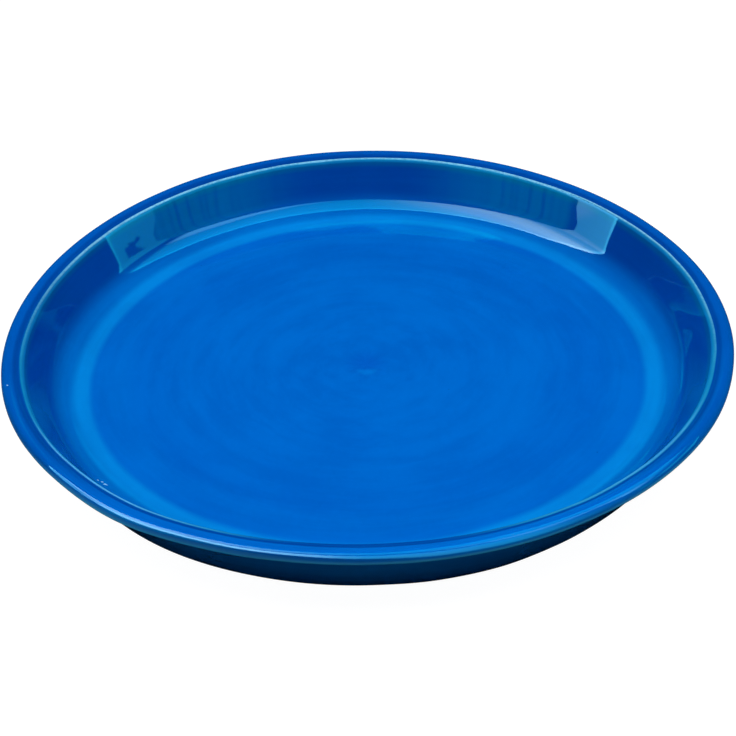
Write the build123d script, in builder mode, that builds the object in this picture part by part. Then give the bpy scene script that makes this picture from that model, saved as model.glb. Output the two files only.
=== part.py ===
from build123d import *
import os
from math import asin, atan2, hypot, radians, tan

# A round glazed plant saucer. One piece of fired clay carries the shape, and a coat of
# glaze covers it everywhere but on the underside, where the bare clay foot stands.
# The frame has its origin on the resting plane, in the middle of the foot, with +Z up.
# All lengths are in millimetres.

# Overall sizes, measured over the glaze.
saucer_diameter = 300
saucer_height = 29

# The coat of glaze, and how far above the resting plane it stops on the foot.
glaze_thickness = 0.5
glaze_line_height = 0.8

# How steeply the two faces of the clay wall rise from the ground, in degrees. The inner
# face is the steeper one, so the wall thickens a little from the foot to the rim.
outer_wall_angle = 56.3
inner_wall_angle = 60.5

# The clay rim: a rolled edge that stands proud of the wall outside, and runs down
# inwards to a shallow gutter behind a narrow lip that stands over the dish.
rim_width = 7.5
rim_depth = 3.0
rim_overhang = 1.3
rim_roll_radius = 2.3
rim_underside_radius = 0.5
rim_root_radius = 0.9
lip_drop = 1.0
lip_radius = 0.6
gutter_width = 2.1
gutter_depth = 0.5
gutter_radius = 1.6

# The clay floor of the dish, the cove that joins it to the wall, and the dimple that
# the shaping tool left in the middle.
floor_height = 5.8
cove_radius = 15.4
dimple_radius = 9
dimple_flat_radius = 3
dimple_depth = 0.4
dimple_blend_radius = 30

# The clay foot: a flat ring to stand on, round a shallow recess.
foot_corner_radius = 4.5
foot_width = 11
recess_depth = 1.2
recess_lead_in = 1.6
recess_corner_radius = 0.8

# How far a trimming shape runs past what it trims.
overrun = 2

# Places on the clay that follow from the sizes above.
rim_radius = saucer_diameter / 2 - glaze_thickness
crown_height = saucer_height - glaze_thickness
rim_underside_height = crown_height - rim_depth
rim_root_x = rim_radius - rim_overhang
lip_height = crown_height - lip_drop
lip_x = rim_radius - rim_width
foot_corner_x = rim_root_x - rim_underside_height / tan(radians(outer_wall_angle))
cove_corner_x = lip_x - (lip_height - floor_height) / tan(radians(inner_wall_angle))
gutter_x = lip_x + gutter_width
gutter_height = lip_height - gutter_depth

# From the gutter the rim's top rises in a straight line that is tangent to the rolled
# edge. That line meets the upright of the edge at a corner, which the roll rounds off.
roll_dx = rim_radius - rim_roll_radius - gutter_x
roll_dz = crown_height - rim_roll_radius - gutter_height
rim_top_angle = atan2(roll_dz, roll_dx) + asin(rim_roll_radius / hypot(roll_dx, roll_dz))
rim_corner_height = gutter_height + (rim_radius - gutter_x) * tan(rim_top_angle)

# The foot's flat starts where the rounding of its outer corner ends.
foot_outer_x = foot_corner_x - foot_corner_radius * tan(radians(outer_wall_angle / 2))
foot_inner_x = foot_outer_x - foot_width
recess_x = foot_inner_x - recess_lead_in

# The half section of the clay: each corner, and the radius that rounds it.
clay_corners = [
    ((0, floor_height - dimple_depth), 0),
    ((dimple_flat_radius, floor_height - dimple_depth), dimple_blend_radius),
    ((dimple_radius, floor_height), dimple_blend_radius),
    ((cove_corner_x, floor_height), cove_radius),
    ((lip_x, lip_height), lip_radius),
    ((gutter_x, gutter_height), gutter_radius),
    ((rim_radius, rim_corner_height), rim_roll_radius),
    ((rim_radius, rim_underside_height), rim_underside_radius),
    ((rim_root_x, rim_underside_height), rim_root_radius),
    ((foot_corner_x, 0), foot_corner_radius),
    ((foot_inner_x, 0), recess_corner_radius),
    ((recess_x, recess_depth), recess_corner_radius),
    ((0, recess_depth), 0),
]

with BuildPart() as clay_body:
    with BuildSketch(Plane.XZ) as clay_section:
        with BuildLine():
            FilletPolyline(
                *[corner for corner, _ in clay_corners],
                radius=[radius for _, radius in clay_corners],
                close=True,
            )
        make_face()
    revolve(axis=Axis.Z)

# The coat is the clay's section grown by one thickness, less the clay. Trimming it to
# the glaze line outside and under the middle of the floor leaves the underside bare.
floor_middle_height = (floor_height + recess_depth) / 2
coat_width = saucer_diameter / 2 + overrun
coat_height = saucer_height - glaze_line_height + overrun

with BuildPart() as glaze_coat:
    with BuildSketch(Plane.XZ):
        add(clay_section.sketch_local)
        offset(amount=glaze_thickness, kind=Kind.ARC)
        add(clay_section.sketch_local, mode=Mode.SUBTRACT)
        with Locations((0, glaze_line_height)):
            Rectangle(
                coat_width,
                coat_height,
                align=(Align.MIN, Align.MIN),
                mode=Mode.INTERSECT,
            )
        with Locations((0, floor_middle_height)):
            Rectangle(
                foot_outer_x,
                floor_middle_height + overrun,
                align=(Align.MIN, Align.MAX),
                mode=Mode.SUBTRACT,
            )
    revolve(axis=Axis.Z)

clay_body.part.label = "clay_body"
glaze_coat.part.label = "glaze_coat"

os.makedirs("parts", exist_ok=True)
export_step(clay_body.part, "parts/clay_body.step")
export_step(glaze_coat.part, "parts/glaze_coat.step")
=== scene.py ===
"""A round glazed plant saucer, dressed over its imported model.

The saucer is one pot of fired clay under a coat of glossy blue glaze. Both are surfaces of
revolution: a half section is carried round the upright axis, then warped a little out of
round and rippled, as a hand-finished pot is. Lengths are in metres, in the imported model's
own frame, with the origin on the resting plane in the middle of the foot and +Z up. The
front of the saucer, nearest the camera, is at -Y.
"""

import logging
import math
from collections.abc import Sequence
from dataclasses import dataclass, field, replace
from enum import Enum
from typing import Any

import bpy
import numpy as np
from mathutils import Matrix, Vector


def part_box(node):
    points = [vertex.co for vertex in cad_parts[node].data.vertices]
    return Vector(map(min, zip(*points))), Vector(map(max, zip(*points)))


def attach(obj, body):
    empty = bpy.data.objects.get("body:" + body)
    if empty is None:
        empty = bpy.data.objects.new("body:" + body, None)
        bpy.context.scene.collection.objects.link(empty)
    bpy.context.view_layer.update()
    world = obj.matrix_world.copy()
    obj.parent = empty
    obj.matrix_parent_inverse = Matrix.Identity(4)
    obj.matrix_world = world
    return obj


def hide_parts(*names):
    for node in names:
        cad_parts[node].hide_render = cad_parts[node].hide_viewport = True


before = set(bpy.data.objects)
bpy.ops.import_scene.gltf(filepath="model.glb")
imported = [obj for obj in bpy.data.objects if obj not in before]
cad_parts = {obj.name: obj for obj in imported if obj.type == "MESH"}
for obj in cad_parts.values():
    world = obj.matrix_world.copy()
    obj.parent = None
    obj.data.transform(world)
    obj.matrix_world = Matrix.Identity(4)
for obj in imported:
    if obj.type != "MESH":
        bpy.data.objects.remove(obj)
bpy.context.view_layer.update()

log = logging.getLogger("saucer")

MM = 0.001

# Red, green and blue light, and the same with alpha.
Light = tuple[float, float, float]
Colour = tuple[float, float, float, float]

# How much of a wave goes by the cosine of the angle, and how much by the sine.
Wave = tuple[float, float]

# Where a change begins and ends, and where a mark begins, is full, fades and ends.
Reach = tuple[float, float]
Span = tuple[float, float, float, float]

# Places in rising order, each with the value or the light there.
Table = tuple[tuple[float, float], ...]
Glow = list[tuple[float, Light]]

# One step along a panel: x and y on its front edge, and x and y on its back edge.
Rung = tuple[float, float, float, float]

# Specks: how far apart they are, their size in their cell, and the share of cells with one.
Specks = tuple[float, float, float]

# Turning marks: how far apart the rings are, and how long a mark is round the axis.
Marks = tuple[float, float]

WHITE: Colour = (1.0, 1.0, 1.0, 1.0)
BLACK: Colour = (0.0, 0.0, 0.0, 1.0)
EVEN: Table = ((0.0, 1.0), (1.0, 1.0))


def grey(level: float) -> Colour:
    """Gives the grey of one level of light."""
    return (level, level, level, 1.0)


def linear(colour: str) -> Colour:
    """Turns a screen colour into the linear light that a shader takes.

    Each channel is scaled to 0..1, then the sRGB curve is undone: a straight line near
    black, and a power of 2.4 above it.

    Args:
        colour: a hex colour such as "#0061CA".

    Returns:
        Red, green, blue and an alpha of 1.
    """
    shares = np.array([int(colour[i : i + 2], 16) / 255 for i in (1, 3, 5)])
    light = np.where(shares <= 0.04045, shares / 12.92, ((shares + 0.055) / 1.055) ** 2.4)
    return (*(float(value) for value in light), 1.0)


def eased(at: np.ndarray, places: Sequence[float], values: Sequence[float]) -> np.ndarray:
    """Follows a row of values from place to place without a kink.

    Between two places the share of the way is u, and the value moves by u * u * (3 - 2u)
    of the difference, so it starts and stops level at every place.

    Args:
        at: where the values are wanted.
        places: where they are given, rising.
        values: what they are there.

    Returns:
        The values, in the shape of `at`.
    """
    stops = np.asarray(places)
    levels = np.asarray(values)
    cell = np.clip(np.searchsorted(stops, at, side="right") - 1, 0, len(stops) - 2)
    share = np.clip((at - stops[cell]) / (stops[cell + 1] - stops[cell]), 0.0, 1.0)
    share = share * share * (3.0 - 2.0 * share)
    return levels[cell] + (levels[cell + 1] - levels[cell]) * share


def by_angle(turn: np.ndarray, table: Table) -> np.ndarray:
    """Reads a table of degrees, from -180 to 180, at angles that are in radians."""
    places, values = zip(*table)
    return eased(np.degrees(turn), places, values)


class Corner(Enum):
    """The corners of the half section, from the middle of the dish round to the underside."""

    MIDDLE = 0
    DIMPLE_FLAT = 1
    DIMPLE_EDGE = 2
    COVE = 3
    LIP = 4
    GUTTER = 5
    RIM_TOP = 6
    RIM_UNDERSIDE = 7
    RIM_ROOT = 8
    FOOT_OUTER = 9
    FOOT_INNER = 10
    RECESS = 11
    UNDERSIDE = 12


@dataclass
class Outline:
    """A line across the half section, measured along its own length from the middle.

    Attributes:
        length: the distance along the line at each point.
        points: distance from the axis, and height.
        normals: the direction out of the clay there.
        places: how far along the line each corner is.
    """

    length: np.ndarray
    points: np.ndarray
    normals: np.ndarray
    places: dict[Corner, float]

    def at(self, along: np.ndarray) -> tuple[np.ndarray, np.ndarray]:
        """Reads the line at distances along it.

        Args:
            along: distances, in any shape.

        Returns:
            The points and the outward directions, with one more axis of two values.
        """
        read = [np.interp(along, self.length, column) for column in self.points.T]
        lean = [np.interp(along, self.length, column) for column in self.normals.T]
        points = np.stack(read, axis=-1)
        normals = np.stack(lean, axis=-1)
        return points, normals / np.linalg.norm(normals, axis=-1, keepdims=True)

    def knots(self) -> list[float]:
        """Lists how far along the line its start, its corners and its end are."""
        return [0.0, *self.places.values(), float(self.length[-1])]

    def stations(self, start: float, end: float, run_step: float, turn_step: float) -> np.ndarray:
        """Chooses rows along the line: far apart on the straight, close together in a bend.

        Each stretch costs its length over `run_step` plus its turn over `turn_step`, and the
        rows are set at equal steps of the summed cost.

        Args:
            start: where the rows begin.
            end: where they end.
            run_step: how far apart rows may be on the straight.
            turn_step: how much of a turn, in radians, lies between rows in a bend.

        Returns:
            Distances along the line, the first `start` and the last `end`.
        """
        dots = np.sum(self.normals[1:] * self.normals[:-1], axis=1)
        turns = np.arccos(np.clip(dots, -1.0, 1.0))
        steps = np.diff(self.length) / run_step + turns / turn_step
        cost = np.concatenate([[0.0], np.cumsum(steps)])
        first, last = np.interp([start, end], self.length, cost)
        wanted = np.linspace(first, last, max(2, math.ceil(last - first) + 1))
        rows = np.interp(wanted, cost, self.length)
        rows[0], rows[-1] = start, end
        return rows


@dataclass
class Section:
    """The half section of the clay, with the sizes that shape it. Angles are in degrees."""

    outer_radius: float
    height: float
    glaze_thickness: float = 0.5 * MM
    glaze_line_height: float = 0.8 * MM
    outer_wall_angle: float = 56.3
    inner_wall_angle: float = 60.5
    rim_width: float = 7.5 * MM
    rim_depth: float = 3.0 * MM
    rim_overhang: float = 1.3 * MM
    rim_roll_radius: float = 2.3 * MM
    rim_underside_radius: float = 0.5 * MM
    rim_root_radius: float = 0.9 * MM
    lip_drop: float = 1.0 * MM
    lip_radius: float = 0.6 * MM
    gutter_width: float = 2.1 * MM
    gutter_depth: float = 0.5 * MM
    gutter_radius: float = 1.6 * MM
    floor_height: float = 5.8 * MM
    cove_radius: float = 15.4 * MM
    dimple_radius: float = 9.0 * MM
    dimple_flat_radius: float = 3.0 * MM
    dimple_depth: float = 0.4 * MM
    dimple_blend_radius: float = 30.0 * MM
    foot_corner_radius: float = 4.5 * MM
    foot_width: float = 11.0 * MM
    recess_depth: float = 1.2 * MM
    recess_lead_in: float = 1.6 * MM
    recess_corner_radius: float = 0.8 * MM
    bend_step: float = math.radians(2.0)

    def corners(self) -> np.ndarray:
        """Works out the corners from the sizes.

        The walls are straight lines at their angles, from the rim's root down to the ground
        and from the lip down to the floor. The top of the rim is the straight line from the
        gutter that is tangent to the rolled edge: its slope is the slope of the line to the
        roll's centre, plus the angle whose sine is the roll's radius over that distance.

        Returns:
            A row for each corner: distance from the axis, height, and rounding radius.
        """
        rim = self.outer_radius - self.glaze_thickness
        crown = self.height - self.glaze_thickness
        underside = crown - self.rim_depth
        root = rim - self.rim_overhang
        lip = rim - self.rim_width
        lip_height = crown - self.lip_drop
        gutter = lip + self.gutter_width
        gutter_height = lip_height - self.gutter_depth
        foot = root - underside / math.tan(math.radians(self.outer_wall_angle))
        cove = lip - (lip_height - self.floor_height) / math.tan(math.radians(self.inner_wall_angle))
        across = rim - self.rim_roll_radius - gutter
        up = crown - self.rim_roll_radius - gutter_height
        slope = math.atan2(up, across) + math.asin(self.rim_roll_radius / math.hypot(up, across))
        foot_flat = foot - self.foot_corner_radius * math.tan(math.radians(self.outer_wall_angle / 2))
        foot_inner = foot_flat - self.foot_width
        dimple_floor = self.floor_height - self.dimple_depth
        return np.array(
            [
                (0.0, dimple_floor, 0.0),
                (self.dimple_flat_radius, dimple_floor, self.dimple_blend_radius),
                (self.dimple_radius, self.floor_height, self.dimple_blend_radius),
                (cove, self.floor_height, self.cove_radius),
                (lip, lip_height, self.lip_radius),
                (gutter, gutter_height, self.gutter_radius),
                (rim, gutter_height + (rim - gutter) * math.tan(slope), self.rim_roll_radius),
                (rim, underside, self.rim_underside_radius),
                (root, underside, self.rim_root_radius),
                (foot, 0.0, self.foot_corner_radius),
                (foot_inner, 0.0, self.recess_corner_radius),
                (foot_inner - self.recess_lead_in, self.recess_depth, self.recess_corner_radius),
                (0.0, self.recess_depth, 0.0),
            ]
        )

    def outline(self) -> Outline:
        """Rounds the corners and measures the line.

        At a corner the line turns by some angle. The arc starts radius * tan(angle / 2)
        short of the corner, and a point a turn of `a` along it is at start + radius *
        (sin a * way in + (1 - cos a) * side), where side points to the arc's centre.

        Returns:
            The outline, from the middle of the dish round to the middle of the underside.
        """
        corners = self.corners()
        ways = np.diff(corners[:, :2], axis=0)
        ways /= np.linalg.norm(ways, axis=1, keepdims=True)
        points = [corners[:1, :2]]
        tangents = [ways[:1]]
        middles = [0.0]
        count = 1
        for corner, way_in, way_out in zip(corners[1:-1], ways[:-1], ways[1:]):
            cross = way_in[0] * way_out[1] - way_in[1] * way_out[0]
            turn = math.atan2(abs(cross), float(way_in @ way_out))
            side = math.copysign(1.0, cross) * np.array([-way_in[1], way_in[0]])
            start = corner[:2] - way_in * corner[2] * math.tan(turn / 2)
            turned = np.linspace(0.0, turn, 2 + math.ceil(turn / self.bend_step))[:, None]
            points.append(start + corner[2] * (np.sin(turned) * way_in + (1 - np.cos(turned)) * side))
            tangents.append(np.cos(turned) * way_in + np.sin(turned) * side)
            middles.append(count + (len(turned) - 1) / 2)
            count += len(turned)
        points.append(corners[-1:, :2])
        tangents.append(ways[-1:])
        middles.append(float(count))
        line = np.concatenate(points)
        way = np.concatenate(tangents)
        length = np.concatenate([[0.0], np.cumsum(np.linalg.norm(np.diff(line, axis=0), axis=1))])
        places = np.interp(middles, np.arange(len(line)), length)
        normals = np.stack([-way[:, 1], way[:, 0]], axis=1)
        return Outline(length, line, normals, dict(zip(Corner, (float(place) for place in places))))


@dataclass(frozen=True)
class Warp:
    """How the pot sagged out of round in the kiln, as shares of its radius.

    The radius grows by the sum of lobe * cos(n * angle) and lobe * sin(n * angle) for two
    and three lobes, and the height moves the same way. The foot keeps part of the first.
    The two swells, of degrees and lengths, are what the waves leave over at the rim and at
    the foot.

    Attributes:
        out_two: the two-lobed wave of the radius.
        out_three: its three-lobed wave.
        up_two: the two-lobed wave of the height.
        up_three: its three-lobed wave.
        foot_share: how much of the radius's waves the foot keeps.
        rim_swell: how far the rim stands out as well, from angle to angle.
        foot_swell: how far the foot does.
    """

    out_two: Wave = (0.0002, -0.0018)
    out_three: Wave = (0.0006, -0.0090)
    up_two: Wave = (-0.0008, -0.0011)
    up_three: Wave = (0.0030, 0.0011)
    foot_share: float = 0.3
    rim_swell: Table = (
        (-180.0, -0.3 * MM),
        (-160.0, -0.1 * MM),
        (-142.0, -0.2 * MM),
        (-126.0, 1.2 * MM),
        (-112.0, 0.3 * MM),
        (-100.0, 0.0),
        (-75.0, 0.2 * MM),
        (-60.0, 0.3 * MM),
        (-30.0, 0.3 * MM),
        (-12.0, -0.1 * MM),
        (30.0, -0.4 * MM),
        (60.0, -0.2 * MM),
        (120.0, -0.2 * MM),
        (180.0, -0.3 * MM),
    )
    foot_swell: Table = (
        (-180.0, 0.0),
        (-144.0, 0.0),
        (-127.0, 1.5 * MM),
        (-108.0, 0.0),
        (-90.0, 0.0),
        (-80.0, 1.7 * MM),
        (-70.0, 2.2 * MM),
        (-60.0, 0.6 * MM),
        (-50.0, 0.0),
        (180.0, 0.0),
    )

    def lobes(self, turn: np.ndarray, two: Wave, three: Wave) -> np.ndarray:
        """Adds the two-lobed and the three-lobed wave.

        Args:
            turn: angles in radians.
            two: the two-lobed wave.
            three: the three-lobed wave.

        Returns:
            The sum at each angle.
        """
        double = two[0] * np.cos(2 * turn) + two[1] * np.sin(2 * turn)
        triple = three[0] * np.cos(3 * turn) + three[1] * np.sin(3 * turn)
        return double + triple

    def apply(self, points: np.ndarray, radius: float, height: float) -> np.ndarray:
        """Warps points of the round pot.

        The swells die away inwards by the eighth power of the distance from the axis, and
        the lift by its square.

        Args:
            points: places on the pot, with x, y and z on the last axis.
            radius: the pot's radius at the rim.
            height: the pot's height at the rim.

        Returns:
            The warped places.
        """
        across = np.hypot(points[..., 0], points[..., 1])
        turn = np.arctan2(points[..., 1], points[..., 0])
        level = np.clip(points[..., 2] / height, 0.0, 1.0)
        grow = self.lobes(turn, self.out_two, self.out_three)
        grow = 1.0 + grow * (self.foot_share + (1 - self.foot_share) * level)
        reach = np.clip(across / radius, 0.0, 1.0)
        swell = by_angle(turn, self.rim_swell) * level
        swell = swell + by_angle(turn, self.foot_swell) * (1 - level)
        grow = grow + swell * reach**8 / radius
        lift = self.lobes(turn, self.up_two, self.up_three) * radius * level * reach**2
        x, y, z = np.moveaxis(points, -1, 0)
        return np.stack([x * grow, y * grow, z + lift], axis=-1)


@dataclass(frozen=True)
class Ripple:
    """The slow unevenness that hands and glaze leave on a surface.

    The height is a sum of sine waves in random directions, each of its own wavelength and
    phase, with longer waves the taller.

    Attributes:
        seed: the seed of the directions, wavelengths and phases.
        waves: how many waves there are.
        shortest: the shortest wavelength.
        longest: the longest.
        slope: how steep they are together, on the whole.
    """

    seed: int = 7
    waves: int = 26
    shortest: float = 14.0 * MM
    longest: float = 52.0 * MM
    slope: float = 0.0042

    def heights(self, points: np.ndarray) -> np.ndarray:
        """Finds how far the surface stands out at each point.

        Args:
            points: places, with x, y and z on the last axis.

        Returns:
            Heights, with the last axis gone.
        """
        chance = np.random.default_rng(self.seed)
        ways = chance.normal(size=(self.waves, 3))
        ways /= np.linalg.norm(ways, axis=1, keepdims=True)
        lengths = chance.uniform(self.shortest, self.longest, self.waves)
        phases = chance.uniform(0.0, 2 * math.pi, self.waves)
        pulse = points @ (ways * (2 * math.pi / lengths)[:, None]).T + phases
        tall = self.slope * lengths / (2 * math.pi) * math.sqrt(2.0 / self.waves)
        return np.sin(pulse) @ tall


@dataclass
class Form:
    """The pot's shape in space, which the clay and the glaze share.

    Attributes:
        section: the round half section.
        warp: how it sagged out of round.
        ripple: the slow unevenness of the surface.
        sharp_roll: the radius of the rim's roll where it came out sharpest.
        sharpness: degrees, each with how much of that sharper roll the rim has there.
        floor_calm: the share of the ripple that the dish's floor has.
        calm_reach: how far along the outline that share rises to the whole.
        columns: how many points go round the pot.
        clay_run_step: how far apart the clay's rows are on the straight.
        clay_turn_step: how much of a turn lies between them in a bend.
    """

    section: Section
    warp: Warp = field(default_factory=Warp)
    ripple: Ripple = field(default_factory=Ripple)
    sharp_roll: float = 1.1 * MM
    sharpness: Table = (
        (-180.0, 0.3),
        (-150.0, 0.7),
        (-127.0, 1.0),
        (-108.0, 1.0),
        (-90.0, 0.6),
        (-80.0, 0.2),
        (-70.0, 0.0),
        (90.0, 0.0),
        (180.0, 0.3),
    )
    floor_calm: float = 0.35
    calm_reach: Reach = (106.0 * MM, 124.0 * MM)
    columns: int = 448
    clay_run_step: float = 5.0 * MM
    clay_turn_step: float = math.radians(9.0)

    def __post_init__(self) -> None:
        """Works out both outlines, the angles of the columns and the clay's rows."""
        self.outline = self.section.outline()
        self.sharp_outline = replace(self.section, rim_roll_radius=self.sharp_roll).outline()
        self.turns = np.arange(self.columns) * (2 * math.pi / self.columns)
        whole = float(self.outline.length[-1])
        self.clay_rows = self.outline.stations(0.0, whole, self.clay_run_step, self.clay_turn_step)

    def place(self, corner: Corner) -> float:
        """Tells how far along the outline a corner is."""
        return self.outline.places[corner]

    def surface(self, along: np.ndarray, lift: np.ndarray) -> np.ndarray:
        """Carries the section round the axis.

        At each column's angle t the outline is part way to the one with the sharper roll,
        matched to it from corner to corner. A point at distance r from the axis and height
        z, moved off the clay by `lift`, goes to (r cos t, r sin t, z). It is then moved
        along its outward direction by the ripple, which is slight on the dish's floor and
        dies away to nothing at the foot, and warped.

        Args:
            along: distances along the outline, as rows by columns.
            lift: how far off the clay the surface is there, in the same shape.

        Returns:
            Points, as rows by columns by x, y and z.
        """
        flat, lean = self.outline.at(along)
        matched = np.interp(along, self.outline.knots(), self.sharp_outline.knots())
        sharp_flat, sharp_lean = self.sharp_outline.at(matched)
        share = by_angle(np.angle(np.exp(1j * self.turns)), self.sharpness)[:, None]
        flat = flat + (sharp_flat - flat) * share
        lean = lean + (sharp_lean - lean) * share
        lean = lean / np.linalg.norm(lean, axis=-1, keepdims=True)
        flat = flat + lean * lift[..., None]
        ring = np.stack([np.cos(self.turns), np.sin(self.turns)], axis=-1)
        points = np.concatenate([flat[..., :1] * ring, flat[..., 1:]], axis=-1)
        normals = np.concatenate([lean[..., :1] * ring, lean[..., 1:]], axis=-1)
        fade = np.clip(points[..., 2] / self.section.foot_corner_radius, 0.0, 1.0)
        calm = eased(along, self.calm_reach, (self.floor_calm, 1.0))
        uneven = self.ripple.heights(points) * fade * calm
        points = points + normals * uneven[..., None]
        return self.warp.apply(points, self.section.outer_radius, self.section.height)


def turned_mesh(name: str, points: np.ndarray, along: np.ndarray) -> bpy.types.Object:
    """Makes a closed turned piece from rows of points that start and end on the axis.

    The first and the last row shrink to one vertex each. Between rows, the face at row i
    and column j joins (i, j), (i + 1, j), (i + 1, j + 1) and (i, j + 1), with the last
    column joined to the first, so the faces look away from the clay.

    Args:
        name: the piece's name.
        points: rows by columns by x, y and z.
        along: how far along the outline each point is, as rows by columns.

    Returns:
        The new object, with `along` kept as a point attribute of the same name.
    """
    rows, columns = points.shape[:2]
    body = points[1:-1].reshape(-1, 3)
    vertices = np.concatenate([points[0].mean(axis=0)[None], body, points[-1].mean(axis=0)[None]])
    index = 1 + np.arange((rows - 2) * columns).reshape(rows - 2, columns)
    beside = np.roll(index, -1, axis=1)
    quads = np.stack([index[:-1], index[1:], beside[1:], beside[:-1]], axis=-1).reshape(-1, 4)
    first = np.zeros(columns, dtype=int)
    last = np.full(columns, len(vertices) - 1)
    top = np.stack([first, index[0], beside[0]], axis=-1)
    bottom = np.stack([last, beside[-1], index[-1]], axis=-1)
    mesh = bpy.data.meshes.new(name)
    mesh.from_pydata(vertices.tolist(), [], top.tolist() + quads.tolist() + bottom.tolist())
    mesh.polygons.foreach_set("use_smooth", np.ones(len(mesh.polygons), dtype=bool))
    place = np.concatenate([along[0, :1], along[1:-1].ravel(), along[-1, :1]])
    layer = mesh.attributes.new("along", "FLOAT", "POINT")
    layer.data.foreach_set("value", place.astype(np.float32))
    mesh.update()
    piece = bpy.data.objects.new(name, mesh)
    bpy.context.scene.collection.objects.link(piece)
    return piece


class Sheet:
    """A node tree, with short ways to add nodes to it and join them."""

    def __init__(self, tree: bpy.types.NodeTree) -> None:
        """Takes over a tree and clears it."""
        self.tree = tree
        self.tree.nodes.clear()

    def add(self, kind: str, inputs: dict[Any, Any] | None = None, **settings: Any) -> bpy.types.Node:
        """Adds a node.

        Args:
            kind: the node's type name.
            inputs: what each input is: a number, a colour, or a socket to join to it.
            settings: the node's own properties.

        Returns:
            The node.
        """
        node = self.tree.nodes.new(kind)
        node.location = (220 * (len(self.tree.nodes) % 8), -240 * (len(self.tree.nodes) // 8))
        for key, value in settings.items():
            setattr(node, key, value)
        for key, value in (inputs or {}).items():
            self.feed(node.inputs[key], value)
        return node

    def feed(self, socket: bpy.types.NodeSocket, value: Any) -> None:
        """Joins a socket to an input, or sets the input's own value.

        Args:
            socket: the input.
            value: the socket to join to it, or its value.
        """
        if isinstance(value, bpy.types.NodeSocket):
            self.tree.links.new(value, socket)
        else:
            socket.default_value = value

    def math(self, operation: str, a: Any, b: Any = 0.0, c: Any = 0.0) -> bpy.types.NodeSocket:
        """Adds a sum on numbers and returns its result."""
        node = self.add("ShaderNodeMath", {0: a, 1: b, 2: c}, operation=operation)
        return node.outputs[0]

    def measure(self, operation: str, a: Any, b: Any = (0.0, 0.0, 0.0)) -> bpy.types.NodeSocket:
        """Adds a sum on vectors that gives a number and returns it."""
        node = self.add("ShaderNodeVectorMath", {0: a, 1: b}, operation=operation)
        return node.outputs["Value"]

    def split(self, vector: Any) -> bpy.types.NodeOutputs:
        """Parts a vector into sockets named X, Y and Z."""
        return self.add("ShaderNodeSeparateXYZ", {0: vector}).outputs

    def kept(self, name: str) -> bpy.types.NodeSocket:
        """Reads a number that the mesh keeps at its points."""
        return self.add("ShaderNodeAttribute", attribute_name=name).outputs["Fac"]

    def remap(
        self, value: Any, low: float, high: float, to_low: float, to_high: float
    ) -> bpy.types.NodeSocket:
        """Carries a value from one range to another in a soft step, held at both ends.

        Args:
            value: the value.
            low: where the step begins.
            high: where it ends.
            to_low: the result up to its beginning.
            to_high: the result past its end.

        Returns:
            The result.
        """
        inputs = {"Value": value, "From Min": low, "From Max": high}
        inputs |= {"To Min": to_low, "To Max": to_high}
        node = self.add("ShaderNodeMapRange", inputs, interpolation_type="SMOOTHSTEP")
        return node.outputs["Result"]

    def blend(self, share: Any, a: Any, b: Any, mode: str = "MIX") -> bpy.types.NodeSocket:
        """Mixes two colours.

        Args:
            share: how much of the second colour shows.
            a: the first colour.
            b: the second colour.
            mode: how the second is laid over the first.

        Returns:
            The mixed colour.
        """
        node = self.add("ShaderNodeMix", data_type="RGBA", blend_type=mode)
        colours = [socket for socket in node.inputs if socket.type == "RGBA"]
        self.feed(node.inputs[0], share)
        self.feed(colours[0], a)
        self.feed(colours[1], b)
        return next(socket for socket in node.outputs if socket.type == "RGBA")

    def ramp(self, value: Any, stops: list[tuple[float, Colour]]) -> bpy.types.NodeSocket:
        """Adds a colour ramp.

        Args:
            value: the value to look up, from 0 to 1.
            stops: places on the ramp, in rising order, each with its colour.

        Returns:
            The colour at the value, eased from stop to stop.
        """
        node = self.add("ShaderNodeValToRGB", {"Fac": value})
        elements = node.color_ramp.elements
        node.color_ramp.interpolation = "EASE"
        while len(elements) < len(stops):
            elements.new(0.5)
        for element, (place, colour) in zip(elements, stops):
            element.position = place
            element.color = colour
        return node.outputs["Color"]

    def noise(
        self, vector: Any, scale: Any, detail: float = 3.0, rough: float = 0.5
    ) -> bpy.types.NodeSocket:
        """Adds cloudy noise and returns its value."""
        inputs = {"Vector": vector, "Scale": scale, "Detail": detail, "Roughness": rough}
        return self.add("ShaderNodeTexNoise", inputs).outputs["Fac"]


def new_group(name: str, takes: dict[str, tuple[str, Any]], gives: dict[str, str]) -> Sheet:
    """Starts a shader node group.

    Args:
        name: the group's name.
        takes: each input's name, with its socket type and starting value.
        gives: each output's name, with its socket type.

    Returns:
        The group's sheet, with its input and output nodes.
    """
    sheet = Sheet(bpy.data.node_groups.new(name, "ShaderNodeTree"))
    for label, (kind, value) in takes.items():
        socket = sheet.tree.interface.new_socket(label, in_out="INPUT", socket_type=kind)
        if value is not None:
            socket.default_value = value
    for label, kind in gives.items():
        sheet.tree.interface.new_socket(label, in_out="OUTPUT", socket_type=kind)
    sheet.add("NodeGroupInput", name="takes")
    sheet.add("NodeGroupOutput", name="gives")
    return sheet


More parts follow.
